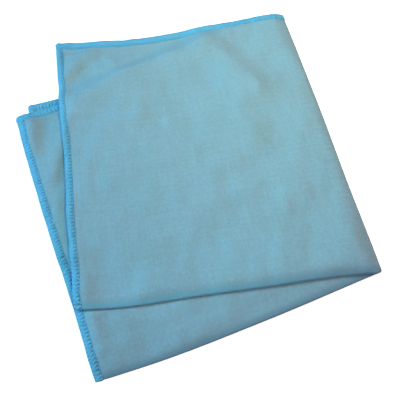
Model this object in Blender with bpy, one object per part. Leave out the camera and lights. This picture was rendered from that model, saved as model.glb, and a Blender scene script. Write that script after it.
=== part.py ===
"""A microfibre cleaning cloth, folded in half and then in half again.

One square of knitted cloth with an overlocked edge. It is one closed sheet that goes back and forth
through its folds, so its four quarters lie on each other as four layers, a little apart:

    front   the top layer, with its hem corner at the upper left
    second  under it, joined to it along the front panel's bottom fold
    third   shows as the strip at the left and the triangle at the bottom, joined to the second at the right
    lowest  on the table, joined to the third along the lower fold and to the front panel round the right fold

The second fold is a little skewed, so the front pair of layers doesn't cover the back pair. All four
quarters meet at the right-hand corner. Past the back pair's top hem the front pair hangs down to the table.

The scene is in metres, +Z up. The origin is on the table, under the middle of the cloth's outline.
"""

import bmesh
import bpy
import numpy as np

MM = 0.001  # sizes below are in millimetres, and the mesh is made in metres

# The cloth, laid flat
CLOTH_SIDE = 400.0
SHEET = 1.2  # thickness of the cloth
HEM_THICK = 1.6  # thickness where the overlock thread wraps the edge
HEM_EDGE_THICK = 0.9  # thickness at the very edge, which the thread rounds off
HEM_WIDTH = 5.5
HEM_TAPER = 1.65  # width of the hem's inner side, where it thins out to the cloth
HEM_ROUND = 1.1  # how far in from the edge the rounding ends
HALF = CLOTH_SIDE / 2.0

# How the layers lie
LAYER_GAP = 0.8
LAYER_STEP = SHEET + LAYER_GAP  # from the middle of one layer to the middle of the next
STACK_MIDDLE = SHEET / 2.0 + 1.5 * LAYER_STEP  # height of the middle of the four layers
FIRST_FOLD_RADIUS = LAYER_STEP / 2.0
OUTER_BEND_DEPTH = 6.0  # how far the outer turn of the second fold takes to come level
INNER_BEND_DEPTH = 1.2  # the same for its inner turn
BEND_CLOTH = 6.0  # length of cloth in a quarter turn of the second fold

# Where a layer reaches past the ones that carry it, it comes down to the table. These are the start and the
# end of its slope, measured outwards from the hem that it hangs over.
FRONT_SLOPE = (-2.5, 15.0)
SECOND_SLOPE = (-3.0, 10.5)
THIRD_SLOPE = (3.0, 12.0)
SLOPE_CLEAR = (2.0, 30.0)  # the slopes fade in over these distances from the right fold

# Corners of the layers on the table, seen from above: x, y. The middle of their outline goes on the origin.
OUTLINE_MIDDLE = (0.135, -1.118)
CORNERS = {
    "front hem": (-106.5, 108.9),
    "second hem": (-105.0, 106.7),
    "third hem": (-129.7, 43.1),
    "lowest hem": (-122.6, 55.4),
    "front fold": (-71.6, -94.5),
    "lower fold": (-56.3, -137.9),
    "right top": (76.2, 136.0),
    "right top inside": (74.0, 132.4),
    "right foot": (129.7, -70.7),
    "right foot inside": (126.8, -71.5),
}

# Edges of the layers: from, to, and how far the edge bows to the left of that line at each sixth of it
EDGES = {
    "front bottom": ("front fold", "right foot", (-2.7, -2.1, -1.5, -0.7, 0.2)),
    "front top": ("front hem", "right top", (-3.2, -5.0, -4.0, -2.2, -0.7)),
    "front left": ("front fold", "front hem", (-0.1, 0.2, -0.9, -0.4, 0.4)),
    "second top": ("second hem", "right top inside", (-3.1, -4.9, -4.0, -2.2, -0.8)),
    "second left": ("front fold", "second hem", (-0.2, 0.0, -1.1, -0.5, 0.3)),
    "third top": ("third hem", "right top inside", (-1.7, -2.5, -2.9, -2.8, -1.9)),
    "third left": ("lower fold", "third hem", (-0.9, -0.2, 0.7, 1.2, 1.0)),
    "lowest top": ("lowest hem", "right top", (-3.3, -3.0, -2.3, -2.0, -0.9)),
    "lowest left": ("lower fold", "lowest hem", (-0.6, -0.4, 0.2, 0.4, 0.4)),
    "lower bottom": ("lower fold", "right foot", (-1.9, -2.7, -2.5, -2.0, -1.0)),
    "right": ("right foot", "right top", (-0.6, -0.6, -1.2, -1.3, -0.9)),
    "right inside": ("right foot inside", "right top inside", (-0.6, -0.6, -1.2, -1.3, -0.9)),
}

# The edges of each layer besides the right fold: bottom, top, left
LAYERS = {
    "front": ("front bottom", "front top", "front left"),
    "second": ("front bottom", "second top", "second left"),
    "third": ("lower bottom", "third top", "third left"),
    "lowest": ("lower bottom", "lowest top", "lowest left"),
}

# Soft ridges of the front pair: name, start x, y, end x, y, half width, height
FRONT_RIDGES = (
    ("hem corner", -98.0, 86.0, -86.0, 103.0, 8.0, 1.7),
    ("over the back hem, left", -86.0, 60.0, -20.0, 88.0, 9.0, 0.9),
    ("over the back hem, right", -20.0, 88.0, 30.0, 106.0, 9.0, 0.7),
    ("upper right crease, top", 10.0, 112.0, 30.0, 84.0, 11.0, 1.2),
    ("upper right crease, foot", 30.0, 84.0, 46.0, 52.0, 12.0, 1.1),
    ("beside the left hem", -83.0, 44.0, -68.0, -14.0, 9.0, 0.8),
    ("over the third hem", -73.0, -40.0, -69.0, -86.0, 8.0, 1.3),
    ("middle, upper", -48.0, 38.0, 6.0, 30.0, 20.0, 0.7),
    ("middle, lower", -20.0, -14.0, 22.0, -50.0, 22.0, 0.8),
    ("beside the right fold", 76.0, 62.0, 98.0, -20.0, 13.0, 0.8),
    ("lower left", -46.0, -64.0, -8.0, -82.0, 13.0, 0.7),
)

# Soft ridges of the third layer, in the same columns
THIRD_RIDGES = (
    ("inside the hem", -115.0, 38.0, -105.0, 4.0, 6.5, 1.3),
    ("strip, upper", -96.0, 40.0, -98.0, 14.0, 6.5, 1.2),
    ("strip, lower", -98.0, 14.0, -88.0, -26.0, 6.5, 1.1),
    ("lower triangle", -34.0, -112.0, 26.0, -98.0, 12.0, 0.7),
)
RIDGE_CLEAR = 14.0  # the ridges fade out over this distance from the folds that join layers

# Steps of the mesh
FIRST_TURN_STEPS = 3  # in a quarter turn of the first fold
SECOND_TURN_STEPS = 4  # and of the second
BESIDE_FOLD = 4.0  # width of the first step beside a fold
ACROSS_STEP = 12.5  # width of the steps from the right fold to the left hem
UP_STEP = 12.5  # and from the bottom fold up
SLOPE_STEP = 7.2  # and where the front pair comes down to the table
SLOPE_FROM = 122.0  # that part starts this far from the bottom fold
NEARBY = 0.02  # the sheet's direction at a point is measured over this distance to each side

CLOTH_BLUE = (0.21, 0.41, 0.49, 1.0)


def ease(value, start, end):
    """0 up to start, 1 from end, with a soft rise between."""
    share = np.clip((value - start) / (end - start), 0.0, 1.0)
    return share * share * (3.0 - 2.0 * share)


def bowed(share, bows):
    """A smooth curve through the bows at equal steps and through zero at both ends, as a sum of sines."""
    parts = len(bows) + 1
    stations = np.arange(1, parts)
    total = np.zeros_like(share)
    for wave in stations:
        weight = 2.0 / parts * np.dot(bows, np.sin(wave * np.pi * stations / parts))
        total = total + weight * np.sin(wave * np.pi * share)
    return total


def edge_bow(name, share):
    """How far a named edge stands off its straight line, as a vector, at the given shares of its length."""
    start_name, end_name, bows = EDGES[name]
    run = np.subtract(CORNERS[end_name], CORNERS[start_name])
    left = np.array((-run[1], run[0])) / np.hypot(run[0], run[1])
    return bowed(share, bows)[..., None] * left


def along_edge(name, share):
    """Points of a named edge at the given shares of its length."""
    start_name, end_name, _ = EDGES[name]
    start = np.array(CORNERS[start_name])
    return start + share[..., None] * (CORNERS[end_name] - start) + edge_bow(name, share)


def on_table(layer, across, up, outward):
    """Where a point of a layer lies, seen from above. across: 0 at the left hem, 1 at the right fold. up: 0 at
    the bottom fold, 1 at the top hem. outward: 0 at the inner turn of the right fold, 1 at the outer."""
    bottom, top, left = LAYERS[layer]
    out = outward[..., None]
    fold_edge = out * along_edge("right", up) + (1.0 - out) * along_edge("right inside", up)
    hem_edge = along_edge(left, up)
    straight = hem_edge + across[..., None] * (fold_edge - hem_edge)
    bows = (1.0 - up)[..., None] * edge_bow(bottom, across) + up[..., None] * edge_bow(top, across)
    return straight + bows


def beyond_edge(name, x, y):
    """How far a point lies beyond an edge, on the left of its direction."""
    start_name, end_name, bows = EDGES[name]
    start = np.array(CORNERS[start_name])
    run = np.array(CORNERS[end_name]) - start
    length = np.hypot(run[0], run[1])
    share = ((x - start[0]) * run[0] + (y - start[1]) * run[1]) / length**2
    side = ((y - start[1]) * run[0] - (x - start[0]) * run[1]) / length
    return side - bowed(np.clip(share, 0.0, 1.0), bows)


def ridges(table, x, y):
    """Height of all the soft ridges of a table at a point."""
    total = np.zeros_like(x)
    for _, x0, y0, x1, y1, half_width, height in table:
        run_x = x1 - x0
        run_y = y1 - y0
        share = ((x - x0) * run_x + (y - y0) * run_y) / (run_x**2 + run_y**2)
        share = np.clip(share, 0.0, 1.0)
        away = np.hypot(x - x0 - share * run_x, y - y0 - share * run_y)
        total = total + height * np.exp(-((away / half_width) ** 2))
    return total


def first_fold(v):
    """The half fold: how far a point of the cloth lies from the folded edge, and how far to the outer side of
    the middle of its pair of layers."""
    turn = np.minimum(np.abs(v) / FIRST_FOLD_RADIUS, np.pi / 2.0)
    bend_cloth = FIRST_FOLD_RADIUS * np.pi / 2.0
    rest = np.maximum(np.abs(v) - bend_cloth, 0.0) / (HALF - bend_cloth)
    inward = FIRST_FOLD_RADIUS * (1.0 - np.cos(turn)) + rest * (HALF - FIRST_FOLD_RADIUS)
    return inward, np.sign(v) * FIRST_FOLD_RADIUS * np.sin(turn)


def second_fold(u, side, outward):
    """The quarter fold, which takes a pair of layers round: how far in from the folded edge, and the height
    above the middle of the stack. side is the distance from the middle of the pair, outwards."""
    depth = INNER_BEND_DEPTH + outward * (OUTER_BEND_DEPTH - INNER_BEND_DEPTH)
    radius = LAYER_STEP + side
    turn = np.minimum(np.abs(u) / BEND_CLOTH, 1.0) * np.pi / 2.0
    rest = np.maximum(np.abs(u) - BEND_CLOTH, 0.0) / (HALF - BEND_CLOTH)
    inward = depth * (1.0 - np.cos(turn)) + rest * (HALF - depth)
    return inward, np.sign(-u) * radius * np.sin(turn)


def thickness(u, v):
    """Thickness of the cloth: more in the hem, rounded off at its edge."""
    edge = HALF - np.maximum(np.abs(u), np.abs(v))
    rim = HEM_EDGE_THICK + (HEM_THICK - HEM_EDGE_THICK) * np.clip(edge / HEM_ROUND, 0.0, 1.0)
    inside = np.clip((edge - HEM_WIDTH + HEM_TAPER) / HEM_TAPER, 0.0, 1.0)
    return rim + (SHEET - HEM_THICK) * inside


def middle(u, v):
    """The middle of the sheet, folded. u and v are the cloth's own coordinates, from its middle: u below 0 is
    the front pair, v below 0 the two inside layers."""
    up_in, side = first_fold(v)
    outward = (side / FIRST_FOLD_RADIUS + 1.0) / 2.0
    across_in, height = second_fold(u, side, outward)
    across = 1.0 - across_in / HALF
    up = up_in / HALF
    place = np.zeros(u.shape + (2,))
    for layer, where in (
        ("front", (u < 0) & (v >= 0)),
        ("second", (u < 0) & (v < 0)),
        ("third", (u >= 0) & (v < 0)),
        ("lowest", (u >= 0) & (v >= 0)),
    ):
        place[where] = on_table(layer, across[where], up[where], outward[where])
    x = place[..., 0]
    y = place[..., 1]

    front = u < 0
    inner = v < 0
    clear_right = ease(across_in, 0.0, RIDGE_CLEAR)
    clear_lower = ease(beyond_edge("lower bottom", x, y), FIRST_FOLD_RADIUS, RIDGE_CLEAR)
    third_lift = ridges(THIRD_RIDGES, x, y) * clear_right * clear_lower

    # the front pair comes down to the table past the back pair's top hem
    beyond_hem = beyond_edge("lowest top", x, y)
    past_hem = np.where(inner, ease(beyond_hem, *SECOND_SLOPE), ease(beyond_hem, *FRONT_SLOPE))
    past_hem = past_hem * ease(across_in, *SLOPE_CLEAR)
    front_lift = ridges(FRONT_RIDGES, x, y) * clear_right
    front_lift = front_lift + third_lift * (1.0 - past_hem) - 2.0 * LAYER_STEP * past_hem

    # the third layer comes down to the table past the lowest layer's left hem
    past_left = ease(beyond_edge("lowest left", x, y), *THIRD_SLOPE)
    third_drop = third_lift - LAYER_STEP * past_left

    lift = np.where(front, front_lift, np.where(inner, third_drop, 0.0))
    rim_lift = (np.maximum(thickness(u, v), SHEET) - SHEET) / 2.0
    z = STACK_MIDDLE + height + lift + rim_lift
    return np.stack((x - OUTLINE_MIDDLE[0], y - OUTLINE_MIDDLE[1], z), axis=-1)


def even_steps(start, end, step):
    """Lines from start to end, at even steps of about the given width, without the line at start."""
    return np.linspace(start, end, round((end - start) / step) + 1)[1:]


def mesh_lines(turn, panel):
    """The mesh's lines over the whole cloth: those of a fold, a panel and a hem, to each side of its middle."""
    hem = np.array((HALF - HEM_WIDTH + HEM_TAPER, HALF - HEM_ROUND, HALF))
    side = np.concatenate((turn, panel, hem))
    return np.concatenate((-side[:0:-1], side))


def lines_across():
    """The mesh's lines from left to right: close together at the second fold."""
    turn = np.linspace(0.0, BEND_CLOTH, SECOND_TURN_STEPS + 1)
    beside = BEND_CLOTH + BESIDE_FOLD
    panel = even_steps(beside, HALF - HEM_WIDTH, ACROSS_STEP)
    return mesh_lines(turn, np.append(beside, panel))


def lines_up():
    """The mesh's lines from bottom to top: close together at the first fold and on the slope to the table."""
    turn = np.linspace(0.0, FIRST_FOLD_RADIUS * np.pi / 2.0, FIRST_TURN_STEPS + 1)
    beside = turn[-1] + BESIDE_FOLD
    lower = even_steps(beside, SLOPE_FROM, UP_STEP)
    upper = even_steps(SLOPE_FROM, HALF - HEM_WIDTH, SLOPE_STEP)
    return mesh_lines(turn, np.concatenate(((beside,), lower, upper)))


def skins():
    """The upper and the under skin of the sheet, half its thickness to each side of its middle."""
    u, v = np.meshgrid(lines_across(), lines_up(), indexing="ij")
    along_u = middle(np.minimum(u + NEARBY, HALF), v) - middle(np.maximum(u - NEARBY, -HALF), v)
    along_v = middle(u, np.minimum(v + NEARBY, HALF)) - middle(u, np.maximum(v - NEARBY, -HALF))
    normal = np.cross(along_u, along_v)
    normal = normal / np.linalg.norm(normal, axis=-1, keepdims=True)
    centre = middle(u, v)
    offset = normal * thickness(u, v)[..., None] / 2.0
    return centre + offset, centre - offset


def add_skin(mesh, points, turned):
    """A grid of points as triangles. Their diagonals are mirrored from quarter to quarter, so that those of
    one layer lie on those of the next."""
    rows, cols = points.shape[:2]
    grid = [[mesh.verts.new(points[i, j] * MM) for j in range(cols)] for i in range(rows)]
    order = -1 if turned else 1
    for i in range(rows - 1):
        for j in range(cols - 1):
            corners = (grid[i][j], grid[i + 1][j], grid[i + 1][j + 1], grid[i][j + 1])
            first = 0 if (i < rows // 2) == (j >= cols // 2) else 1
            for one, two, three in ((0, 1, 2), (0, 2, 3)):
                triangle = tuple(corners[(first + k) % 4] for k in (one, two, three))
                mesh.faces.new(triangle[::order])
    return grid


def cloth_mesh():
    """One closed body: the two skins, joined all round at the cut edge."""
    face_side, back_side = skins()
    mesh = bmesh.new()
    face = add_skin(mesh, face_side, turned=False)
    back = add_skin(mesh, back_side, turned=True)
    rows, cols = face_side.shape[:2]
    ring = [(i, 0) for i in range(rows - 1)] + [(rows - 1, j) for j in range(cols - 1)]
    ring = ring + [(i, cols - 1) for i in range(rows - 1, 0, -1)] + [(0, j) for j in range(cols - 1, 0, -1)]
    for (i, j), (k, n) in zip(ring, ring[1:] + ring[:1]):
        mesh.faces.new((face[i][j], back[i][j], back[k][n]))
        mesh.faces.new((face[i][j], back[k][n], face[k][n]))
    bmesh.ops.recalc_face_normals(mesh, faces=mesh.faces)
    data = bpy.data.meshes.new("cloth")
    mesh.to_mesh(data)
    mesh.free()
    data.shade_smooth()
    return data


def cloth_material():
    """Matt light blue knitted microfibre."""
    material = bpy.data.materials.new("cloth_blue")
    material.use_nodes = True
    surface = material.node_tree.nodes["Principled BSDF"]
    surface.inputs["Base Color"].default_value = CLOTH_BLUE
    surface.inputs["Roughness"].default_value = 0.9
    surface.inputs["Metallic"].default_value = 0.0
    material.diffuse_color = CLOTH_BLUE
    return material


for old in list(bpy.data.objects):
    bpy.data.objects.remove(old)

cloth = bpy.data.objects.new("cloth", cloth_mesh())
cloth.data.materials.append(cloth_material())
bpy.context.scene.collection.objects.link(cloth)
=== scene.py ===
"""The looks of a folded microfibre cleaning cloth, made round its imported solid.

One square of knitted microfibre, its cut edge wrapped in bright overlock thread, folded in half and then in
half again. Sizes are in millimetres, and become metres where a mesh, a light or the camera is made.
"""

import math

import bpy
import numpy as np
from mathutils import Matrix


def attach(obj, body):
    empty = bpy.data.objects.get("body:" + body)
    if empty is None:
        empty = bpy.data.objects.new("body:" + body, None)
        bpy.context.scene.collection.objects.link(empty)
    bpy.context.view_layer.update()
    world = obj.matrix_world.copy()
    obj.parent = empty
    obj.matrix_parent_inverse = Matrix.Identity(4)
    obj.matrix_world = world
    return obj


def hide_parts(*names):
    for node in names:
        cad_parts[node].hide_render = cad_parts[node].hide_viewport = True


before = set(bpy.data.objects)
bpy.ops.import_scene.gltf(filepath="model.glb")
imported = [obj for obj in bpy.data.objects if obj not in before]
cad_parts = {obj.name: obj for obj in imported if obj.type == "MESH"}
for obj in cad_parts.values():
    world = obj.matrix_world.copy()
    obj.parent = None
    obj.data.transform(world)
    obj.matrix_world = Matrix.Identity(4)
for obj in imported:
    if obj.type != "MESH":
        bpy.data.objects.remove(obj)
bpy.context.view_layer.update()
MM = 0.001

# -------------------------------------------------------------------------------------------------- the cloth
# A square of knitted microfibre, 400 mm by 400 mm. It is one sheet, folded in half and then in half again, so
# four layers lie on each other. The second fold is askew, so the back pair of layers shows at the left and at
# the bottom, and past the back pair's top hem the front pair hangs down to the table.

CLOTH_SIDE = 400.0
HALF = CLOTH_SIDE / 2.0
SHEET = 1.2  # thickness of the cloth
EDGE_THICK = 0.9  # and of its cut edge, which the overlock thread squeezes
HEM_WIDTH = 5.5
HEM_FADE = (0.6, 0.8)  # the squeeze fades out from this far before the hem's inner line to this far past it
HEM_RISE = 0.45  # the thread under the hem lifts it this far from the table
HEM_SINK = 0.35  # and so much less where it sinks into the layer under it
CORNER_ROUND = 3.0  # radius of the cloth's corners

LAYER_STEP = 2.0  # from the middle of one layer to the middle of the next
STACK_MIDDLE = SHEET / 2.0 + 1.5 * LAYER_STEP  # height of the middle of the four layers
FIRST_FOLD_RADIUS = LAYER_STEP / 2.0
OUTER_BEND_DEPTH = 9.5  # how far from its edge the outer turn of the second fold comes level
INNER_BEND_DEPTH = 1.2  # the same for its inner turn
BEND_CLOTH = 8.0  # length of cloth in a quarter turn of the second fold

# start and end of each slope to the table, measured outwards from the hem that the layer hangs over
FRONT_SLOPE = (-6.5, 7.0)
SECOND_SLOPE = (-7.5, 4.0)
THIRD_SLOPE = (3.0, 12.0)
SLOPE_SHIFT = (-2.0, 3.4, 4.8, 5.2, 2.0)  # how far out the front pair's are moved at each sixth of the hem
HEM_UNDER_DROP = 0.57  # the most of its drop that the second layer has before the hem under it
HEM_UNDER = (0.3, 5.0)  # and the distances past that hem where the rest of its drop starts and ends
SLOPE_CLEAR = (5.0, 110.0)  # the slopes fade in over these distances from the right fold

# the folds at the bottom are pressed down: over this distance, by this much in the middle of the front pair,
# and by this much more or less for each of a pair's layers, which come closer
PRESS_REACH = 8.0
PRESS_DROP = 0.95
PRESS_CLOSER = 0.35

# corners of the layers on the table, seen from above: x, y
OUTLINE_MIDDLE = (0.135, -1.118)
CORNERS = {
    "front hem": (-106.5, 108.9),
    "second hem": (-105.0, 106.7),
    "third hem": (-130.2, 44.0),
    "lowest hem": (-123.4, 54.5),
    "front fold": (-71.6, -94.5),
    "lower fold": (-56.3, -137.9),
    "right top": (76.2, 136.0),
    "right top inside": (74.0, 132.4),
    "right foot": (129.7, -70.7),
    "right foot inside": (126.8, -71.5),
}

# edges of the layers: from, to, and how far the edge bows to the left of that line at each sixth of it
EDGES = {
    "front bottom": ("front fold", "right foot", (-2.2, -1.3, -0.6, 0.0, 0.8)),
    "front top": ("front hem", "right top", (-3.2, -5.0, -4.0, -2.2, -0.7)),
    "front left": ("front fold", "front hem", (-0.1, 0.2, -0.9, -0.4, 0.4)),
    "second top": ("second hem", "right top inside", (-3.1, -4.9, -4.0, -2.2, -0.8)),
    "second left": ("front fold", "second hem", (-0.2, 0.0, -1.1, -0.5, 0.3)),
    "third top": ("third hem", "right top inside", (-2.6, -3.0, -3.0, -2.8, -1.9)),
    "third left": ("lower fold", "third hem", (-0.9, -0.2, 0.7, 1.2, 1.0)),
    "lowest top": ("lowest hem", "right top", (-3.3, -3.0, -2.3, -2.0, -0.9)),
    "lowest left": ("lower fold", "lowest hem", (-0.6, -0.4, 0.2, 0.4, 0.4)),
    "lower bottom": ("lower fold", "right foot", (-1.9, -2.7, -2.5, -2.0, -1.0)),
    "right": ("right foot", "right top", (0.0, 0.0, -0.6, -0.7, -0.5)),
    "right inside": ("right foot inside", "right top inside", (0.0, 0.0, -0.6, -0.7, -0.5)),
}

# the edges of each layer besides the right fold: bottom, top, left
LAYERS = {
    "front": ("front bottom", "front top", "front left"),
    "second": ("front bottom", "second top", "second left"),
    "third": ("lower bottom", "third top", "third left"),
    "lowest": ("lower bottom", "lowest top", "lowest left"),
}

# soft ridges of the front pair, and the troughs between them: name, start x, y, end x, y, width on the left
# of that line, width on its right, height
FRONT_RIDGES = (
    ("across the hem corner", -98.0, 76.5, -69.0, 109.5, 8.0, 5.6, 2.8),
    ("hem corner, inside", -103.0, 98.0, -96.0, 108.0, 3.0, 3.0, 2.2),
    ("beside the hem, under the corner", -97.0, 78.0, -92.5, 50.0, 4.0, 3.5, 1.3),
    ("left end of the step", -84.5, 53.5, -52.0, 79.0, 6.5, 12.0, 1.6),
    ("crest of the step", -74.0, 69.0, 6.0, 103.0, 6.5, 14.0, 2.3),
    ("upper left swell", -66.0, 22.0, -38.0, 66.0, 11.0, 18.0, 1.5),
    ("olive crease", 14.0, 110.2, 50.0, 67.2, 8.6, 15.0, 3.4),
    ("below the olive crease", 35.0, 66.0, 48.0, 30.0, 9.0, 16.0, 1.8),
    ("upper middle, a", -12.0, 96.0, -8.0, 80.0, 2.8, 7.0, 0.45),
    ("upper middle, b", -23.0, 66.0, -17.0, 50.0, 3.0, 7.0, 0.45),
    ("upper middle, c", -15.0, 48.0, -10.0, 37.0, 2.8, 6.0, 0.4),
    ("middle", -20.0, 12.0, 14.0, -12.0, 20.0, 14.0, 0.6),
    ("under the middle", 8.0, -34.0, 31.0, -54.0, 8.0, 3.2, 0.45),
    ("right swell", 73.0, -20.0, 62.0, -66.0, 15.0, 8.0, 1.3),
    ("beside the right fold", 80.0, -6.0, 86.0, -20.0, 3.0, 6.0, 0.4),
    ("left hem, upper", -91.0, 26.0, -85.0, -20.0, 3.2, 3.5, 0.25),
    ("left hem, middle", -83.0, -26.0, -76.0, -62.0, 4.5, 3.5, 1.0),
    ("left hem, lower", -74.0, -62.0, -69.0, -90.0, 9.0, 4.0, 1.8),
)

# the same for the third layer
THIRD_RIDGES = (
    ("inside the hem", -118.5, 40.0, -114.5, 15.0, 6.2, 4.6, 4.2),
    ("strip, upper", -89.0, 40.0, -96.0, -4.0, 4.0, 6.5, 1.7),
    ("strip, lower", -90.0, -16.0, -91.0, -36.0, 5.0, 4.0, 1.2),
    ("triangle, corner", -61.0, -100.0, -54.0, -118.0, 5.0, 4.0, 1.5),
    ("triangle, left", -44.0, -101.0, -8.0, -100.0, 5.0, 3.5, 0.8),
    ("triangle, middle", -6.0, -109.0, 28.0, -99.0, 5.0, 4.0, 0.6),
)
RIDGE_CLEAR = 14.0  # the ridges fade out over this distance from the right fold
LOWER_CLEAR = 8.0  # and over this one from the lower fold

# the soft swell inside each fold at the bottom: height, and the distances from the fold where it starts, is
# full, starts to fall and ends
FOLD_SWELLS = {
    "front bottom": (1.1, 1.0, 8.0, 8.0, 30.0),
    "lower bottom": (1.9, 1.0, 21.0, 24.0, 62.0),
}
HEM_STIFF = (2.0, 12.0)  # the hem is stiff: distances from the cut edge where the ridges are weak and full
HEM_STIFFNESS = 0.3  # and their share of their height in it
TOP_CURL = 1.1  # the front pair's top hems curl up from the table this far
TOP_CURL_REACH = 7.0  # over this distance from the cut edge


def ease(value, start, end):
    """0 up to start, 1 from end, with a soft rise between."""
    share = np.clip((value - start) / (end - start), 0.0, 1.0)
    return share * share * (3.0 - 2.0 * share)


def bowed(share, bows):
    """A smooth curve through the bows at equal steps and through zero at both ends, as a sum of sines."""
    parts = len(bows) + 1
    stations = np.arange(1, parts)
    total = np.zeros_like(share)
    for wave in stations:
        weight = 2.0 / parts * np.dot(bows, np.sin(wave * np.pi * stations / parts))
        total = total + weight * np.sin(wave * np.pi * share)
    return total


def edge_bow(name, share):
    """How far a named edge stands off its straight line, as a vector, at the given shares of its length."""
    start_name, end_name, bows = EDGES[name]
    run = np.subtract(CORNERS[end_name], CORNERS[start_name])
    left = np.array((-run[1], run[0])) / np.hypot(run[0], run[1])
    return bowed(share, bows)[..., None] * left


def along_edge(name, share):
    """Points of a named edge at the given shares of its length."""
    start_name, end_name, _ = EDGES[name]
    start = np.array(CORNERS[start_name])
    return start + share[..., None] * (CORNERS[end_name] - start) + edge_bow(name, share)


def on_table(layer, across, up, outward):
    """Where a point of a layer lies, seen from above. across: 0 at the left hem, 1 at the right fold. up: 0
    at the bottom fold, 1 at the top hem. outward: 0 at the inner turn of the right fold, 1 at the outer."""
    bottom, top, left = LAYERS[layer]
    out = outward[..., None]
    fold_edge = out * along_edge("right", up) + (1.0 - out) * along_edge("right inside", up)
    hem_edge = along_edge(left, up)
    straight = hem_edge + across[..., None] * (fold_edge - hem_edge)
    bows = (1.0 - up)[..., None] * edge_bow(bottom, across) + up[..., None] * edge_bow(top, across)
    return straight + bows


def beyond_edge(name, x, y):
    """How far a point lies beyond an edge, on the left of its direction."""
    start_name, end_name, bows = EDGES[name]
    start = np.array(CORNERS[start_name])
    run = np.array(CORNERS[end_name]) - start
    length = np.hypot(run[0], run[1])
    share = ((x - start[0]) * run[0] + (y - start[1]) * run[1]) / length**2
    side = ((y - start[1]) * run[0] - (x - start[0]) * run[1]) / length
    return side - bowed(np.clip(share, 0.0, 1.0), bows)


def ridges(table, x, y):
    """Height of all the soft ridges and troughs of a table at a point."""
    total = np.zeros_like(x)
    for _, x0, y0, x1, y1, left_width, right_width, height in table:
        run_x = x1 - x0
        run_y = y1 - y0
        length = np.hypot(run_x, run_y)
        share = ((x - x0) * run_x + (y - y0) * run_y) / length**2
        left = ((y - y0) * run_x - (x - x0) * run_y) / length
        beyond_end = (np.clip(share, 0.0, 1.0) - share) * length
        width = np.where(left > 0.0, left_width, right_width)
        end_width = (left_width + right_width) / 2.0
        total = total + height * np.exp(-((left / width) ** 2) - (beyond_end / end_width) ** 2)
    return total


def fold_swell(name, x, y):
    """Height of the soft swell inside a folded edge."""
    height, start, full, falls, end = FOLD_SWELLS[name]
    inside = beyond_edge(name, x, y)
    return height * ease(inside, start, full) * (1.0 - ease(inside, falls, end))


# the slight unevenness of cloth that has been handled: many weak waves, crossing at all angles
HANDLED_WAVES = 48
HANDLED_LENGTHS = (8.0, 62.0)  # the shortest and the longest of them
HANDLED_HEIGHT = 0.0030  # height of a wave, for each millimetre of its length
HANDLED_LIFT = 0.5  # and what they lift the cloth by in all
HANDLED_SEED = 7
LONGEST_TO_SHORTEST = HANDLED_LENGTHS[1] / HANDLED_LENGTHS[0]
waves = np.random.default_rng(HANDLED_SEED)
WAVE_LENGTHS = HANDLED_LENGTHS[0] * LONGEST_TO_SHORTEST ** waves.uniform(0.0, 1.0, HANDLED_WAVES)
WAVE_TURNS = waves.uniform(0.0, np.pi, HANDLED_WAVES)
WAVE_STARTS = waves.uniform(0.0, 2.0 * np.pi, HANDLED_WAVES)


def handled(x, y):
    """Height of the unevenness at a point."""
    total = np.full_like(x, HANDLED_LIFT)
    for length, turn, start in zip(WAVE_LENGTHS, WAVE_TURNS, WAVE_STARTS):
        along = x * np.cos(turn) + y * np.sin(turn)
        total = total + HANDLED_HEIGHT * length * np.sin(2.0 * np.pi * along / length + start)
    return total


# the overlock thread draws the hem in a little, which puckers the cloth beside it
PUCKER_HEIGHT = 0.34
PUCKER_LENGTH = 11.0
PUCKER_FROM = (3.0, 9.0)  # distances from the cut edge where the puckers start and are full
PUCKER_TO = (11.0, 24.0)  # and where they fade and end
# they aren't regular. These waves shift them along the hem: by how many radians, the length for each radian,
# and where on each hem they start. One more, given likewise, takes off up to twice its share of their height.
PUCKER_SHIFTS = ((2.1, 17.0, 1.0), (1.3, 7.3, 2.0))
PUCKER_FADE = (0.45, 23.0, 4.0)


def puckers(u, v):
    """Height of the puckers at a point of the flat cloth."""
    total = np.zeros_like(u)
    for along, across in ((u, v), (v, u)):
        edge = HALF - np.abs(across)
        side = np.sign(across)
        shift = sum(most * np.sin(along / length + start * side) for most, length, start in PUCKER_SHIFTS)
        wave = 0.5 + 0.5 * np.sin(2.0 * np.pi * along / PUCKER_LENGTH + shift)
        share, length, start = PUCKER_FADE
        strength = 1.0 - share + share * np.sin(along / length + start * side)
        height = PUCKER_HEIGHT * wave * strength * ease(edge, *PUCKER_FROM)
        total = total + height * (1.0 - ease(edge, *PUCKER_TO))
    return total


def first_fold(v):
    """The half fold: how far a point of the cloth lies from the folded edge, and how far to the outer side of
    the middle of its pair of layers."""
    turn = np.minimum(np.abs(v) / FIRST_FOLD_RADIUS, np.pi / 2.0)
    bend_cloth = FIRST_FOLD_RADIUS * np.pi / 2.0
    rest = np.maximum(np.abs(v) - bend_cloth, 0.0) / (HALF - bend_cloth)
    inward = FIRST_FOLD_RADIUS * (1.0 - np.cos(turn)) + rest * (HALF - FIRST_FOLD_RADIUS)
    return inward, np.sign(v) * FIRST_FOLD_RADIUS * np.sin(turn)


def second_fold(u, side, outward):
    """The quarter fold, which takes a pair of layers round: how far in from the folded edge, and the height
    above the middle of the stack. side is the distance from the middle of the pair, outwards."""
    depth = INNER_BEND_DEPTH + outward * (OUTER_BEND_DEPTH - INNER_BEND_DEPTH)
    radius = LAYER_STEP + side
    turn = np.minimum(np.abs(u) / BEND_CLOTH, 1.0) * np.pi / 2.0
    rest = np.maximum(np.abs(u) - BEND_CLOTH, 0.0) / (HALF - BEND_CLOTH)
    inward = depth * (1.0 - np.cos(turn)) + rest * (HALF - depth)
    return inward, np.sign(-u) * radius * np.sin(turn)


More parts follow.
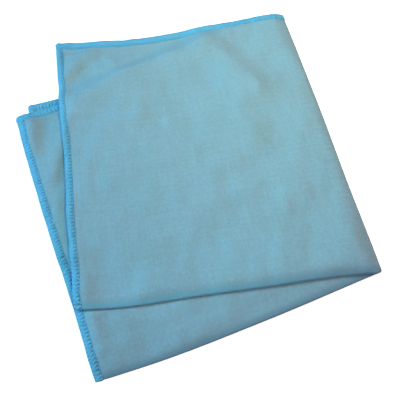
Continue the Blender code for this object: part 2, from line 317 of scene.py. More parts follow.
def hem_share(u, v):
    """0 on the cloth, 1 in the hem."""
    edge = HALF - np.maximum(np.abs(u), np.abs(v))
    return 1.0 - ease(edge, HEM_WIDTH - HEM_FADE[0], HEM_WIDTH + HEM_FADE[1])


def middle(u, v):
    """The middle of the sheet, folded. u and v are the cloth's own coordinates, from its middle: u below 0 is
    the front pair, v below 0 the two inside layers."""
    up_in, side = first_fold(v)
    outward = (side / FIRST_FOLD_RADIUS + 1.0) / 2.0
    across_in, height = second_fold(u, side, outward)
    across = 1.0 - across_in / HALF
    up = up_in / HALF
    place = np.zeros(u.shape + (2,))
    for layer, where in (
        ("front", (u < 0) & (v >= 0)),
        ("second", (u < 0) & (v < 0)),
        ("third", (u >= 0) & (v < 0)),
        ("lowest", (u >= 0) & (v >= 0)),
    ):
        place[where] = on_table(layer, across[where], up[where], outward[where])
    x = place[..., 0]
    y = place[..., 1]

    front = u < 0
    inner = v < 0
    soft = HEM_STIFFNESS + (1.0 - HEM_STIFFNESS) * ease(HALF - np.maximum(np.abs(u), np.abs(v)), *HEM_STIFF)
    clear_right = ease(across_in, 0.0, RIDGE_CLEAR)
    clear_lower = ease(beyond_edge("lower bottom", x, y), FIRST_FOLD_RADIUS, LOWER_CLEAR)
    uneven = handled(x, y)
    third_lift = (ridges(THIRD_RIDGES, x, y) * soft + uneven) * clear_right * clear_lower
    third_lift = third_lift + fold_swell("lower bottom", x, y) * clear_right

    # the front pair comes down to the table past the back pair's top hem
    beyond_hem = beyond_edge("lowest top", x, y)
    out = beyond_hem - bowed(across, SLOPE_SHIFT)
    rest_on_hem = HEM_UNDER_DROP + (1.0 - HEM_UNDER_DROP) * ease(beyond_hem, *HEM_UNDER)
    past_hem = np.where(inner, np.minimum(ease(out, *SECOND_SLOPE), rest_on_hem), ease(out, *FRONT_SLOPE))
    past_hem = past_hem * ease(across_in, *SLOPE_CLEAR)
    front_lift = (ridges(FRONT_RIDGES, x, y) * soft + fold_swell("front bottom", x, y)) * clear_right
    front_lift = front_lift + third_lift * (1.0 - past_hem) - 2.0 * LAYER_STEP * past_hem
    front_lift = front_lift + np.maximum(uneven, 0.0) * past_hem * clear_right
    curl = np.clip(1.0 - (HALF - np.abs(v)) / TOP_CURL_REACH, 0.0, 1.0) ** 2
    front_lift = front_lift + TOP_CURL * curl * past_hem

    # the third layer comes down to the table past the lowest layer's left hem
    past_left = ease(beyond_edge("lowest left", x, y), *THIRD_SLOPE)
    third_drop = third_lift - LAYER_STEP * past_left + np.maximum(-third_lift, 0.0) * past_left

    lift = np.where(front, front_lift, np.where(inner, third_drop, 0.0))
    lift = lift + puckers(u, v) * np.where(front | inner, clear_right, 0.0)
    press = (1.0 - np.minimum(up_in / PRESS_REACH, 1.0)) ** 2 * np.abs(height) / (LAYER_STEP + side)
    closer = PRESS_CLOSER * side / FIRST_FOLD_RADIUS
    lift = lift - press * np.where(front, PRESS_DROP + closer, PRESS_CLOSER - closer)
    on_layer = np.where(front, 1.0 - past_hem, np.where(inner, 1.0 - past_left, 0.0))
    z = STACK_MIDDLE + height + lift + (HEM_RISE - HEM_SINK * on_layer) * hem_share(u, v)
    return np.stack((x - OUTLINE_MIDDLE[0], y - OUTLINE_MIDDLE[1], z), axis=-1)


NEARBY = 0.02  # the sheet's direction at a point is measured over this distance to each side


def laid(u, v, out):
    """Where a point of the flat cloth goes, out above the middle of the sheet, once the cloth is folded."""
    along_u = middle(u + NEARBY, v) - middle(u - NEARBY, v)
    along_v = middle(u, v + NEARBY) - middle(u, v - NEARBY)
    normal = np.cross(along_u, along_v)
    normal = normal / np.linalg.norm(normal, axis=-1, keepdims=True)
    return middle(u, v) + normal * out[..., None]


def rounded(u, v):
    """Draws the cloth's square corners in to round ones: squares round a corner's centre become circles."""
    out_u = np.maximum(np.abs(u) - (HALF - CORNER_ROUND), 0.0)
    out_v = np.maximum(np.abs(v) - (HALF - CORNER_ROUND), 0.0)
    in_corner = (out_u > 0.0) & (out_v > 0.0)
    from_centre = np.where(in_corner, np.hypot(out_u, out_v), 1.0)
    shrink = np.where(in_corner, np.maximum(out_u, out_v) / from_centre, 1.0)
    return u - np.sign(u) * out_u * (1.0 - shrink), v - np.sign(v) * out_v * (1.0 - shrink)


# lines of the mesh, from the middle of the cloth out
SECOND_TURN_STEPS = 10  # in a quarter turn of the second fold
FIRST_TURN_STEPS = 6  # and of the first
PANEL_LINES = 92
HEM_LINES = (5.0, 4.4, 3.4, 2.2, 1.2, 0.5, 0.15)  # distances from the cut edge
CUT_EDGE = 0.45  # the cloth ends this far inside the thread that wraps it
CUT_EDGE_LEAST = 0.12  # its rounded edge keeps the square root of this share of its thickness


def cloth_lines(turn_length, turn_steps):
    """The mesh's lines over the whole cloth, mirrored about its middle."""
    turn = np.linspace(0.0, turn_length, turn_steps + 1)
    panel = np.linspace(turn_length, HALF - HEM_WIDTH, PANEL_LINES + 1)[1:]
    hem = HALF - CUT_EDGE - np.array(HEM_LINES + (0.0,)) * (1.0 - CUT_EDGE / HEM_WIDTH)
    side = np.concatenate((turn, panel, hem))
    return np.concatenate((-side[:0:-1], side))


def cloth_mesh():
    """The sheet as one closed body: its face, its back and the cut edge between them."""
    lines_across = cloth_lines(BEND_CLOTH, SECOND_TURN_STEPS)
    lines_up = cloth_lines(FIRST_FOLD_RADIUS * math.pi / 2.0, FIRST_TURN_STEPS)
    grid_u, grid_v = np.meshgrid(lines_across, lines_up, indexing="ij")
    u, v = rounded(grid_u, grid_v)
    edge = HALF - CUT_EDGE - np.maximum(np.abs(grid_u), np.abs(grid_v))
    squeezed = SHEET - (SHEET - EDGE_THICK) * hem_share(grid_u, grid_v)
    half_thick = squeezed / 2.0 * np.sqrt(np.clip(edge / (EDGE_THICK / 2.0), CUT_EDGE_LEAST, 1.0))
    face = laid(u, v, half_thick)
    back = laid(u, v, -half_thick)

    rows, columns = u.shape
    number = np.arange(rows * columns).reshape(rows, columns)
    corners = (number[:-1, :-1], number[1:, :-1], number[1:, 1:], number[:-1, 1:])
    quads = np.stack(corners, axis=-1).reshape(-1, 4)
    ring = np.concatenate((number[:-1, 0], number[-1, :-1], number[:0:-1, -1], number[0, :0:-1]))
    after = np.roll(ring, -1)
    under = rows * columns
    rim = np.stack((ring, ring + under, after + under, after), axis=-1)
    faces = np.concatenate((quads, quads[:, ::-1] + under, rim))

    mesh = bpy.data.meshes.new("microfibre_cloth")
    mesh.from_pydata(np.concatenate((face.reshape(-1, 3), back.reshape(-1, 3))) * MM, [], faces.tolist())
    flat = np.stack((u, v), axis=-1).reshape(-1, 2) / CLOTH_SIDE + 0.5
    flat = np.concatenate((flat, flat))
    flat_map = mesh.uv_layers.new(name="flat_cloth")
    flat_map.data.foreach_set("uv", flat[faces.ravel()].ravel().astype(np.float32))
    mesh.shade_smooth()
    mesh.update()
    return mesh


def add(tree, kind, sockets=None, **settings):
    """Adds a node with its settings. sockets gives its inputs: each a value, or an output to link from."""
    node = tree.nodes.new(kind)
    for name, value in settings.items():
        setattr(node, name, value)
    for name, value in (sockets or {}).items():
        if isinstance(value, bpy.types.NodeSocket):
            tree.links.new(value, node.inputs[name])
        else:
            node.inputs[name].default_value = value
    return node


def calculate(tree, operation, first, second=0.0):
    """The result of a sum on one or two values, as an output."""
    return add(tree, "ShaderNodeMath", {0: first, 1: second}, operation=operation).outputs[0]


def blended(tree, share, first, second, blend_type="MIX"):
    """Two colours mixed, as an output."""
    node = add(tree, "ShaderNodeMix", {"Factor": share}, data_type="RGBA", blend_type=blend_type)
    for socket, value in (("A_Color", first), ("B_Color", second)):
        target = next(s for s in node.inputs if s.identifier == socket)
        if isinstance(value, bpy.types.NodeSocket):
            tree.links.new(value, target)
        else:
            target.default_value = value
    return next(s for s in node.outputs if s.identifier == "Result_Color")


def mottle(tree, place, patches, detail, low, high):
    """Soft noise, as a value from 0 to 1. patches is how many it has along and up, to a length of 1. low and
    high are the noise's own values that become 0 and 1."""
    stretched = add(tree, "ShaderNodeMapping", {"Vector": place, "Scale": (patches[0], patches[1], 1.0)})
    noise = add(tree, "ShaderNodeTexNoise", {"Vector": stretched.outputs[0], "Scale": 1.0, "Detail": detail})
    spread = add(tree, "ShaderNodeMapRange", {"Value": noise.outputs[0], "From Min": low, "From Max": high})
    return spread.outputs[0]


PALE_TEAL = ((0.212, 0.405, 0.470, 1.0), (0.222, 0.425, 0.510, 1.0))
# painted shade along both folds at the bottom: a darker, bluer teal standing in for the shade of the folds.
# Its colour at the front pair's fold and at the lower one, its share on the fold, and the distances from the
# fold where it fades and ends
FOLD_SHADE_TEAL = ((0.108, 0.385, 0.520, 1.0), (0.105, 0.245, 0.325, 1.0))
FOLD_SHADE_SHARE = 0.7
FOLD_SHADE_TO = (1.0, 6.5)
PAIRS_MEET = (0.35, 0.5)  # shares of the cloth's width where the first of these turns into the second
UNDER_THREAD = (0.07, 0.37, 0.63, 1.0)  # the cloth between the strands of thread
UNDER_THREAD_FADE = (0.4, 0.3)  # it comes in from this far inside the hem's inner line to this far outside it

# patches of each kind to the width of the cloth
BROAD_PATCHES = 11.0
SPECKS = 190.0
THREAD_RUNS = (300.0, 9.0)  # across a thread and along it
GRAIN = 700.0
RIBS_ALONG = 380.0
RIBS_UP = 440.0
RIB_HEIGHT = 0.16  # against the grain's 1
SPECK_WEIGHT = 2.5  # how much the specks count, against 1 for each kind of run
SHADES = (0.885, 1.115)  # of the darkest speck and of the lightest


def microfibre():
    """Pale teal knitted microfibre with a short, dense pile: fine ribs, soft mottling and a faint sheen."""
    material = bpy.data.materials.new("pale_teal_microfibre")
    material.use_nodes = True
    tree = material.node_tree
    surface = tree.nodes["Principled BSDF"]
    place = add(tree, "ShaderNodeUVMap", uv_map="flat_cloth").outputs[0]
    axes = add(tree, "ShaderNodeSeparateXYZ", {0: place})

    # dye and pile: broad patches, small ones, and threads that run along and up the cloth
    patches = mottle(tree, place, (BROAD_PATCHES, BROAD_PATCHES), 2.0, 0.3, 0.7)
    specks = mottle(tree, place, (SPECKS, SPECKS), 3.0, 0.3, 0.7)
    runs_up = mottle(tree, place, THREAD_RUNS, 1.0, 0.3, 0.7)
    runs_across = mottle(tree, place, THREAD_RUNS[::-1], 1.0, 0.3, 0.7)
    colour = blended(tree, patches, *PALE_TEAL)
    runs = calculate(tree, "ADD", runs_up, runs_across)
    lift = calculate(tree, "ADD", calculate(tree, "MULTIPLY", specks, SPECK_WEIGHT), runs)
    shade = add(
        tree,
        "ShaderNodeMapRange",
        {"Value": lift, "From Max": SPECK_WEIGHT + 2.0, "To Min": SHADES[0], "To Max": SHADES[1]},
    )
    grey = add(tree, "ShaderNodeCombineXYZ", {0: shade.outputs[0], 1: shade.outputs[0], 2: shade.outputs[0]})
    colour = blended(tree, 1.0, colour, grey.outputs[0], "MULTIPLY")

    # painted shade along both folds at the bottom
    off_first_fold = calculate(tree, "ABSOLUTE", calculate(tree, "SUBTRACT", axes.outputs[1], 0.5))
    fold_shade = add(
        tree,
        "ShaderNodeMapRange",
        {
            "Value": off_first_fold,
            "From Min": FOLD_SHADE_TO[0] / CLOTH_SIDE,
            "From Max": FOLD_SHADE_TO[1] / CLOTH_SIDE,
            "To Min": FOLD_SHADE_SHARE,
            "To Max": 0.0,
        },
        interpolation_type="SMOOTHSTEP",
    )
    pair = add(
        tree,
        "ShaderNodeMapRange",
        {"Value": axes.outputs[0], "From Min": PAIRS_MEET[0], "From Max": PAIRS_MEET[1]},
    )
    shaded_teal = blended(tree, pair.outputs[0], *FOLD_SHADE_TEAL)
    colour = blended(tree, fold_shade.outputs[0], colour, shaded_teal)

    # under the overlock the cloth is as blue as the thread, so no pale gaps show between the strands
    off_second_fold = calculate(tree, "ABSOLUTE", calculate(tree, "SUBTRACT", axes.outputs[0], 0.5))
    out = calculate(tree, "MAXIMUM", off_second_fold, off_first_fold)
    hem_start = (HALF - HEM_WIDTH - UNDER_THREAD_FADE[0]) / CLOTH_SIDE
    hem_full = hem_start + sum(UNDER_THREAD_FADE) / CLOTH_SIDE
    hem = add(tree, "ShaderNodeMapRange", {"Value": out, "From Min": hem_start, "From Max": hem_full})
    colour = blended(tree, hem.outputs[0], colour, UNDER_THREAD)
    tree.links.new(colour, surface.inputs["Base Color"])

    # fine ribs both ways, and the pile's grain
    turns_along = calculate(tree, "MULTIPLY", axes.outputs[0], 2.0 * math.pi * RIBS_ALONG)
    turns_up = calculate(tree, "MULTIPLY", axes.outputs[1], 2.0 * math.pi * RIBS_UP)
    ribs = calculate(tree, "ADD", calculate(tree, "SINE", turns_along), calculate(tree, "SINE", turns_up))
    grain = mottle(tree, place, (GRAIN, GRAIN), 3.0, 0.25, 0.75)
    relief = calculate(tree, "ADD", calculate(tree, "MULTIPLY", ribs, RIB_HEIGHT), grain)
    bump = add(tree, "ShaderNodeBump", {"Height": relief, "Strength": 0.35, "Distance": 0.00025})
    tree.links.new(bump.outputs[0], surface.inputs["Normal"])

    roughness = add(tree, "ShaderNodeMapRange", {"Value": grain, "To Min": 0.82, "To Max": 0.98})
    tree.links.new(roughness.outputs[0], surface.inputs["Roughness"])
    surface.inputs["Specular IOR Level"].default_value = 0.2
    surface.inputs["Sheen Weight"].default_value = 0.12
    surface.inputs["Sheen Roughness"].default_value = 0.5
    surface.inputs["Sheen Tint"].default_value = (0.75, 0.92, 1.0, 1.0)
    return material


cloth = bpy.data.objects.new("microfibre_cloth", cloth_mesh())
bpy.context.scene.collection.objects.link(cloth)
cloth.data.materials.append(microfibre())
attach(cloth, "root")
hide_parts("cloth")

# ---------------------------------------------------------------------------------------- the overlock thread
# Bright blue bulky polyester thread, sewn round the flat cloth before it is folded. Two looper threads cross
# the hem in slanted strands, one on the face and one on the back, and twist round each other along the cut
# edge. The needle thread runs along the inner side of the hem and holds them down.

STITCH = 2.4  # length of one stitch
STRAND_WIDTH = 1.9
STRAND_FLATNESS = 0.42  # height of a strand, as a share of its width
THREAD_RISE = 0.62  # from the middle of the cloth to the middle of a strand
FORWARD = 1.25  # where a strand turns at the cut edge, in stitches past where it left the needle line
NEEDLE_LINE = 5.2  # distance of the needle's line from the outer edge
NEEDLE_WIDTH = 0.45
TURN_LINE = 0.95  # where the strands turn back
TWIST_PLY = 0.82  # width of each thread where the two twist
TWIST_ROUND = 0.3  # and the distance of its middle from the middle of the twist
FILAMENT_TWIST = 0.7  # how fast the filaments wind round a thread, in radians for each millimetre

STRAND_BACK = 0.6  # a looper strand starts this far back from its stitch's place, in stitches
STRAND_ROUNDNESS = 2.2  # how square its arch over the hem is: 2 is a half ellipse
STRAND_ENDS = 0.95  # its width at the needle line and where it turns, as a share of STRAND_WIDTH
STRAND_SWELL = 0.1  # and how much more there is in the middle of the hem
STITCH_LEAST = (0.94, 0.97, 0.9)  # no two stitches are alike: least size along the hem, across it and up
STITCH_MOST = (1.06, 1.0, 1.06)  # and the most

# bends along a thread and sides round it, within one stitch
STRAND_BENDS = 15
STRAND_SIDES = 6
PLY_BENDS = 10
PLY_SIDES = 5
DASH_BENDS = 7
DASH_SIDES = 5


def seam_path():
    """The line of the cut edge round the flat cloth, as a closed curve, with round corners."""
    inner = HALF - CORNER_ROUND
    corner_steps = 8
    points = []
    for quarter in range(4):
        for step in range(corner_steps + 1):
            turn = math.pi / 2.0 * (quarter + step / corner_steps)
            centre_u = inner * (1.0 if quarter in (0, 3) else -1.0)
            centre_v = inner * (1.0 if quarter in (0, 1) else -1.0)
            u = centre_u + CORNER_ROUND * math.cos(turn)
            v = centre_v + CORNER_ROUND * math.sin(turn)
            points.append((u, v))
    curve = bpy.data.curves.new("seam_path", "CURVE")
    curve.dimensions = "3D"
    spline = curve.splines.new("POLY")
    spline.points.add(len(points) - 1)
    for point, (u, v) in zip(spline.points, points):
        point.co = (u * MM, v * MM, 0.0, 1.0)
    spline.use_cyclic_u = True
    return curve


def tree_inputs(tree, named):
    """Gives a tree its inputs, each a name, a kind and a value. Returns the node that has them as outputs."""
    for name, kind, value in named:
        socket = tree.interface.new_socket(name, in_out="INPUT", socket_type=kind)
        if value is not None:
            socket.default_value = value
    tree.interface.new_socket("Thread", in_out="OUTPUT", socket_type="NodeSocketGeometry")
    return tree.nodes.new("NodeGroupInput")


def sewn_along(tree, given, stitch):
    """Ends a tree: puts one stitch at each step of the seam, turned along it, and makes them a mesh."""
    seam = given.outputs["Seam"]
    length = add(tree, "GeometryNodeCurveLength", {"Curve": seam}).outputs[0]
    count = calculate(tree, "ROUND", calculate(tree, "DIVIDE", length, given.outputs["Stitch"]))
    steps = add(tree, "GeometryNodeCurveToPoints", {"Curve": seam, "Count": count}, mode="COUNT")
    turned = add(
        tree,
        "FunctionNodeAlignRotationToVector",
        {"Vector": steps.outputs["Tangent"]},
        axis="X",
        pivot_axis="Z",
    )
    wobble = add(
        tree,
        "FunctionNodeRandomValue",
        {"Min": STITCH_LEAST, "Max": STITCH_MOST, "Seed": given.outputs["Seed"]},
        data_type="FLOAT_VECTOR",
    )
    placed = add(
        tree,
        "GeometryNodeInstanceOnPoints",
        {
            "Points": steps.outputs["Points"],
            "Instance": stitch,
            "Rotation": turned.outputs[0],
            "Scale": wobble.outputs[0],
        },
    )
    solid = add(tree, "GeometryNodeRealizeInstances", {"Geometry": placed.outputs[0]})
    smooth = add(tree, "GeometryNodeSetShadeSmooth", {"Geometry": solid.outputs[0]})
    coated = add(
        tree,
        "GeometryNodeSetMaterial",
        {"Geometry": smooth.outputs[0], "Material": given.outputs["Material"]},
    )
    end = tree.nodes.new("NodeGroupOutput")
    tree.links.new(coated.outputs[0], end.inputs[0])


def noted(tree, shape, name, value):
    """The shape with a value noted on each of its points, for the material to read."""
    sockets = {"Geometry": shape, "Name": name, "Value": value}
    return add(tree, "GeometryNodeStoreNamedAttribute", sockets).outputs[0]


def strand_tube(tree, x, y, z, bends, sides, radius, flatness, swell=1.0):
    """A thread along a curve that x, y and z give, as a closed tube. flatness is its height as a share of its
    width, and swell its width at each point as a share of what radius gives."""
    line = add(tree, "GeometryNodeCurvePrimitiveLine", {"End": (1.0, 0.0, 0.0)})
    line = add(tree, "GeometryNodeResampleCurve", {"Curve": line.outputs[0], "Count": bends}, mode="COUNT")
    line = add(tree, "GeometryNodeSetCurveRadius", {"Curve": line.outputs[0], "Radius": swell})
    raised = calculate(tree, "DIVIDE", z, flatness)
    where = add(tree, "ShaderNodeCombineXYZ", {0: x, 1: y, 2: raised}).outputs[0]
    line = add(tree, "GeometryNodeSetPosition", {"Geometry": line.outputs[0], "Position": where})
    length = add(tree, "GeometryNodeSplineParameter").outputs["Length"]
    line = noted(tree, line.outputs[0], "along_thread", calculate(tree, "DIVIDE", length, MM))
    round_sockets = {"Resolution": sides, "Radius": radius}
    ring = add(tree, "GeometryNodeCurvePrimitiveCircle", round_sockets, mode="RADIUS")
    round_share = add(tree, "GeometryNodeSplineParameter").outputs["Factor"]
    angle = calculate(tree, "MULTIPLY", round_share, 2.0 * math.pi)
    ring = noted(tree, ring.outputs[0], "thread_side", calculate(tree, "COSINE", angle))
    ring = noted(tree, ring, "thread_top", calculate(tree, "SINE", angle))
    tube = add(tree, "GeometryNodeCurveToMesh", {"Curve": line, "Profile Curve": ring, "Fill Caps": True})
    squash = add(tree, "ShaderNodeCombineXYZ", {0: 1.0, 1: 1.0, 2: flatness}).outputs[0]
    return add(tree, "GeometryNodeTransform", {"Geometry": tube.outputs[0], "Scale": squash}).outputs[0]


def arched(tree, share):
    """0 at both ends of a thread and 1 midway, as an output. share is how far along the thread a point is."""
    back = calculate(tree, "SUBTRACT", 1.0, share)
    return calculate(tree, "MULTIPLY", calculate(tree, "MULTIPLY", share, back), 4.0)


def looper_tree():
    """A looper thread: it leaves the needle line, crosses to the cut edge, turns there and comes back."""
    tree = bpy.data.node_groups.new("looper_thread", "GeometryNodeTree")
    given = tree_inputs(
        tree,
        (
            ("Seam", "NodeSocketGeometry", None),
            ("Stitch", "NodeSocketFloat", STITCH * MM),
            ("Turn Line", "NodeSocketFloat", TURN_LINE * MM),
            ("Crossing", "NodeSocketFloat", (NEEDLE_LINE - TURN_LINE) * MM),
            ("Strand Width", "NodeSocketFloat", STRAND_WIDTH * MM),
            ("Flatness", "NodeSocketFloat", STRAND_FLATNESS),
            ("Rise", "NodeSocketFloat", THREAD_RISE * MM),
            ("Forward", "NodeSocketFloat", FORWARD),
            ("Seed", "NodeSocketInt", 3),
            ("Material", "NodeSocketMaterial", None),
        ),
    )
    share = add(tree, "GeometryNodeSplineParameter").outputs["Factor"]
    hump = arched(tree, share)
    lead = calculate(tree, "MULTIPLY", hump, calculate(tree, "SUBTRACT", given.outputs["Forward"], 0.5))
    beside = calculate(tree, "SUBTRACT", calculate(tree, "ADD", share, lead), STRAND_BACK)
    x = calculate(tree, "MULTIPLY", beside, given.outputs["Stitch"])
    inward = calculate(tree, "SUBTRACT", 1.0, hump)
    crossed = calculate(tree, "MULTIPLY", inward, given.outputs["Crossing"])
    y = calculate(tree, "ADD", crossed, given.outputs["Turn Line"])
    # across the hem the strand follows an arch, and it is fullest midway
    off_middle = calculate(tree, "SUBTRACT", calculate(tree, "MULTIPLY", inward, 2.0), 1.0)
    off_middle = calculate(tree, "ABSOLUTE", off_middle)
    arch = calculate(tree, "SUBTRACT", 1.0, calculate(tree, "POWER", off_middle, STRAND_ROUNDNESS))
    z = calculate(tree, "MULTIPLY", calculate(tree, "POWER", arch, 0.5), given.outputs["Rise"])
    swell = calculate(tree, "ADD", calculate(tree, "MULTIPLY", arch, STRAND_SWELL), STRAND_ENDS)
    radius = calculate(tree, "MULTIPLY", given.outputs["Strand Width"], 0.5)
    flatness = given.outputs["Flatness"]
    stitch = strand_tube(tree, x, y, z, STRAND_BENDS, STRAND_SIDES, radius, flatness, swell)
    sewn_along(tree, given, stitch)
    return tree


def twist_tree():
    """The twist along the cut edge: in each stitch both threads go once round each other."""
    tree = bpy.data.node_groups.new("twist_at_edge", "GeometryNodeTree")
    given = tree_inputs(
        tree,
        (
            ("Seam", "NodeSocketGeometry", None),
            ("Stitch", "NodeSocketFloat", STITCH * MM),
            ("Ply Width", "NodeSocketFloat", TWIST_PLY * MM),
            ("Round", "NodeSocketFloat", TWIST_ROUND * MM),
            ("Seed", "NodeSocketInt", 6),
            ("Material", "NodeSocketMaterial", None),
        ),
    )
    share = add(tree, "GeometryNodeSplineParameter").outputs["Factor"]
    x = calculate(tree, "MULTIPLY", calculate(tree, "SUBTRACT", share, 0.5), given.outputs["Stitch"])
    radius = calculate(tree, "MULTIPLY", given.outputs["Ply Width"], 0.5)
    inside = calculate(tree, "ADD", radius, given.outputs["Round"])
    plies = add(tree, "GeometryNodeJoinGeometry")
    for start in (0.0, math.pi):
        turn = calculate(tree, "ADD", calculate(tree, "MULTIPLY", share, 2.0 * math.pi), start)
        beside = calculate(tree, "MULTIPLY", calculate(tree, "COSINE", turn), given.outputs["Round"])
        z = calculate(tree, "MULTIPLY", calculate(tree, "SINE", turn), given.outputs["Round"])
        y = calculate(tree, "ADD", inside, beside)
        ply = strand_tube(tree, x, y, z, PLY_BENDS, PLY_SIDES, radius, 1.0)
        tree.links.new(ply, plies.inputs[0])
    sewn_along(tree, given, plies.outputs[0])
    return tree


def needle_tree():
    """The needle thread: one short dash to a stitch, which dips into the cloth at both ends."""
    tree = bpy.data.node_groups.new("needle_thread", "GeometryNodeTree")
    given = tree_inputs(
        tree,
        (
            ("Seam", "NodeSocketGeometry", None),
            ("Stitch", "NodeSocketFloat", STITCH * MM),
            ("Needle Line", "NodeSocketFloat", NEEDLE_LINE * MM),
            ("Thread Width", "NodeSocketFloat", NEEDLE_WIDTH * MM),
            ("Rise", "NodeSocketFloat", THREAD_RISE * MM),
            ("Seed", "NodeSocketInt", 5),
            ("Material", "NodeSocketMaterial", None),
        ),
    )
    share = add(tree, "GeometryNodeSplineParameter").outputs["Factor"]
    hump = arched(tree, share)
    x = calculate(tree, "MULTIPLY", calculate(tree, "SUBTRACT", share, 0.5), given.outputs["Stitch"])
    y = given.outputs["Needle Line"]
    z = calculate(tree, "MULTIPLY", calculate(tree, "POWER", hump, 0.5), given.outputs["Rise"])
    radius = calculate(tree, "MULTIPLY", given.outputs["Thread Width"], 0.5)
    stitch = strand_tube(tree, x, y, z, DASH_BENDS, DASH_SIDES, radius, 1.0)
    sewn_along(tree, given, stitch)
    return tree


SKY_BLUE = ((0.107, 0.455, 0.655, 1.0), (0.135, 0.505, 0.715, 1.0))
DARKER_STRANDS = (0.06, 0.32, 0.54, 1.0)
DARKER_SHARE = 0.2  # the most of that shade that shows
GROOVE_SHADE_COLOUR = (0.04, 0.26, 0.48, 1.0)  # painted shade for the grooves between the strands
GROOVE_SHADE_SHARE = 0.5  # at the sides of a strand
GROOVE_SHADE_FALL = 1.5  # and how fast it fades towards the strand's top
THREAD_PATCHES = 90.0  # to a metre
DARKER_PATCHES = 1500.0
FILAMENTS = 3.2  # across half the thread's width
FILAMENT_RUN = 0.3  # how much their pattern moves on for each millimetre along the thread


def overlock_blue():
    """Bulky polyester overlock thread, bright sky blue, with a soft gloss and a twist of fine filaments."""
    material = bpy.data.materials.new("sky_blue_overlock_thread")
    material.use_nodes = True
    tree = material.node_tree
    surface = tree.nodes["Principled BSDF"]
    place = add(tree, "ShaderNodeTexCoord").outputs["Object"]
    patches = mottle(tree, place, (THREAD_PATCHES, THREAD_PATCHES), 2.0, 0.3, 0.7)
    strands = mottle(tree, place, (DARKER_PATCHES, DARKER_PATCHES), 2.0, 0.3, 0.7)
    colour = blended(tree, patches, *SKY_BLUE)
    colour = blended(tree, calculate(tree, "MULTIPLY", strands, DARKER_SHARE), colour, DARKER_STRANDS)

    along = add(tree, "ShaderNodeAttribute", attribute_name="along_thread").outputs["Fac"]
    side = add(tree, "ShaderNodeAttribute", attribute_name="thread_side").outputs["Fac"]
    top = add(tree, "ShaderNodeAttribute", attribute_name="thread_top").outputs["Fac"]
    # painted shade: each strand is darker towards its sides, where the grooves between strands lie in shade
    off_top = calculate(tree, "SUBTRACT", 1.0, calculate(tree, "ABSOLUTE", top))
    groove_shade = calculate(tree, "POWER", off_top, GROOVE_SHADE_FALL)
    colour = blended(tree, calculate(tree, "MULTIPLY", groove_shade, GROOVE_SHADE_SHARE), colour, GROOVE_SHADE_COLOUR)
    tree.links.new(colour, surface.inputs["Base Color"])

    # fine filaments run along the thread and wind slowly round it
    wind = calculate(tree, "MULTIPLY", along, FILAMENT_TWIST)
    cosine = calculate(tree, "COSINE", wind)
    sine = calculate(tree, "SINE", wind)
    side_part = calculate(tree, "MULTIPLY", side, cosine)
    across = calculate(tree, "SUBTRACT", side_part, calculate(tree, "MULTIPLY", top, sine))
    side_part = calculate(tree, "MULTIPLY", side, sine)
    over = calculate(tree, "ADD", side_part, calculate(tree, "MULTIPLY", top, cosine))
    moved_on = calculate(tree, "MULTIPLY", along, FILAMENT_RUN)
    thread_place = add(tree, "ShaderNodeCombineXYZ", {0: across, 1: over, 2: moved_on}).outputs[0]
    filament_sockets = {"Vector": thread_place, "Scale": FILAMENTS, "Detail": 2.0}
    filament_noise = add(tree, "ShaderNodeTexNoise", filament_sockets)
    filaments = filament_noise.outputs[0]
    bump = add(tree, "ShaderNodeBump", {"Height": filaments, "Strength": 0.8, "Distance": 0.0003})
    tree.links.new(bump.outputs[0], surface.inputs["Normal"])
    roughness = add(tree, "ShaderNodeMapRange", {"Value": filaments, "To Min": 0.5, "To Max": 0.75})
    tree.links.new(roughness.outputs[0], surface.inputs["Roughness"])
    surface.inputs["Specular IOR Level"].default_value = 0.4
    surface.inputs["Sheen Weight"].default_value = 0.15
    surface.inputs["Sheen Roughness"].default_value = 0.4
    return material


def sew(name, tree, values):
    """Sews one thread round the flat cloth, folds it with the cloth, and leaves it as a plain mesh."""
    path = bpy.data.objects.new(name + "_path", seam_path())
    bpy.context.scene.collection.objects.link(path)
    sewing = path.modifiers.new("sewing", "NODES")
    sewing.node_group = tree
    for item in tree.interface.items_tree:
        if item.in_out == "INPUT" and item.name in values:
            sewing[item.identifier] = values[item.name]
    ready = path.evaluated_get(bpy.context.evaluated_depsgraph_get())
    mesh = bpy.data.meshes.new_from_object(ready)
    bpy.data.objects.remove(path)

    flat = np.zeros(len(mesh.vertices) * 3)
    mesh.vertices.foreach_get("co", flat)
    u, v, out = flat.reshape(-1, 3).T / MM
    mesh.vertices.foreach_set("co", (laid(u, v, out) * MM).ravel())
    mesh.name = name
    mesh.update()
    thread = bpy.data.objects.new(name, mesh)
    bpy.context.scene.collection.objects.link(thread)
    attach(thread, "root")
    return thread


blue_thread = overlock_blue()
looper = looper_tree()
threads = [
    sew("looper_thread_on_face", looper, {"Material": blue_thread}),
    sew("looper_thread_on_back", looper, {"Material": blue_thread, "Rise": -THREAD_RISE * MM, "Seed": 4}),
    sew("looper_threads_at_edge", twist_tree(), {"Material": blue_thread}),
    sew("needle_thread_on_face", needle_tree(), {"Material": blue_thread}),
]

# ------------------------------------------------------------------------------------ the table and the light
# A plain white table top in a plain white room. A warm lamp hangs close above it, a blue window is at the
# left, a pale green light stands at the front left and a pink one at the right.

REACH = 3000.0  # from the middle of the table to each wall, and the height of the walls
TABLE_HEIGHT = -0.2  # the table top lies a hair under the cloth's lowest thread
TABLE_WHITE = (0.93, 0.93, 0.93, 1.0)
TABLE_GLOW = 0.75  # keeps the table and the walls white in the picture

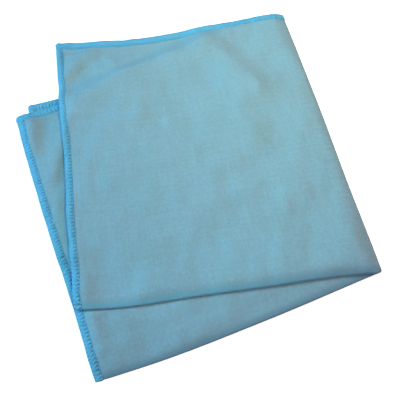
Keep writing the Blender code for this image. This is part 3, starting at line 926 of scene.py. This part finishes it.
sides = ((-1, -1), (1, -1), (1, 1), (-1, 1))
table_corners = [(x * REACH * MM, y * REACH * MM, z * MM) for z in (TABLE_HEIGHT, REACH) for x, y in sides]
walls = [(i, i + 4, (i + 1) % 4 + 4, (i + 1) % 4) for i in range(4)]
table_mesh = bpy.data.meshes.new("table_top")
table_mesh.from_pydata(table_corners, [], [(0, 1, 2, 3)] + walls)
table = bpy.data.objects.new("table_top", table_mesh)
bpy.context.scene.collection.objects.link(table)
white = bpy.data.materials.new("white_table")
white.use_nodes = True
paint = white.node_tree.nodes["Principled BSDF"]
paint.inputs["Base Color"].default_value = TABLE_WHITE
paint.inputs["Roughness"].default_value = 0.9
paint.inputs["Emission Color"].default_value = (1.0, 1.0, 1.0, 1.0)
paint.inputs["Emission Strength"].default_value = TABLE_GLOW
table_mesh.materials.append(white)
table.visible_diffuse = False  # it throws no light back on the cloth
table.visible_glossy = False


def soft_light(name, place, size, power, colour):
    """A square lamp at a place, turned to the middle of the cloth. Place in millimetres, power in watts."""
    lamp = bpy.data.lights.new(name, "AREA")
    lamp.size = size * MM
    lamp.energy = power
    lamp.color = colour
    holder = bpy.data.objects.new(name, lamp)
    bpy.context.scene.collection.objects.link(holder)
    x, y, z = place
    holder.location = (x * MM, y * MM, z * MM)
    holder.rotation_euler = (math.atan2(math.hypot(x, y), z), 0.0, math.atan2(x, -y))


soft_light("ceiling_light", (80.0, 110.0, 300.0), 200.0, 0.87, (1.0, 0.93, 0.63))
soft_light("window_light", (-1450.0, 388.0, 798.0), 450.0, 23.0, (0.09, 0.47, 1.0))
soft_light("side_light", (-1448.0, -675.0, 581.0), 450.0, 17.4, (0.68, 0.96, 0.88))
soft_light("lamp_light", (1552.0, -274.0, 637.0), 450.0, 10.4, (1.0, 0.42, 0.82))

# and a very faint blue light from all round
world = bpy.data.worlds.new("white_room")
world.use_nodes = True
backdrop = world.node_tree.nodes["Background"]
backdrop.inputs["Color"].default_value = (0.4, 0.6, 1.0, 1.0)
backdrop.inputs["Strength"].default_value = 0.01
bpy.context.scene.world = world
bpy.context.scene.view_settings.view_transform = "Standard"

# ------------------------------------------------------------------------------------------------- the camera
# Almost straight above the cloth, as a photographer would hold it over a table.

CAMERA_HEIGHT_ANGLE = math.radians(74.0)
CAMERA_DISTANCE = 263.3
LOOKS_AT = (8.765, -18.882)  # the point of the table in the middle of the picture
SENSOR = 36.0
PICTURE_PIXELS = 400.0  # width of the photo
FOCAL_PIXELS = 369.0  # and its focal length, found with the camera's place from the cloth's corners
FOCAL_LENGTH = SENSOR * FOCAL_PIXELS / PICTURE_PIXELS
NEAREST = 10.0  # nothing closer to the camera is drawn

camera_data = bpy.data.cameras.new("camera")
camera_data.sensor_width = SENSOR
camera_data.lens = FOCAL_LENGTH
camera_data.clip_start = NEAREST * MM
camera = bpy.data.objects.new("camera", camera_data)
bpy.context.scene.collection.objects.link(camera)
back_off = CAMERA_DISTANCE * math.cos(CAMERA_HEIGHT_ANGLE)
camera_height = CAMERA_DISTANCE * math.sin(CAMERA_HEIGHT_ANGLE)
camera.location = (LOOKS_AT[0] * MM, (LOOKS_AT[1] - back_off) * MM, camera_height * MM)
camera.rotation_euler = (math.pi / 2.0 - CAMERA_HEIGHT_ANGLE, 0.0, 0.0)
bpy.context.scene.camera = camera
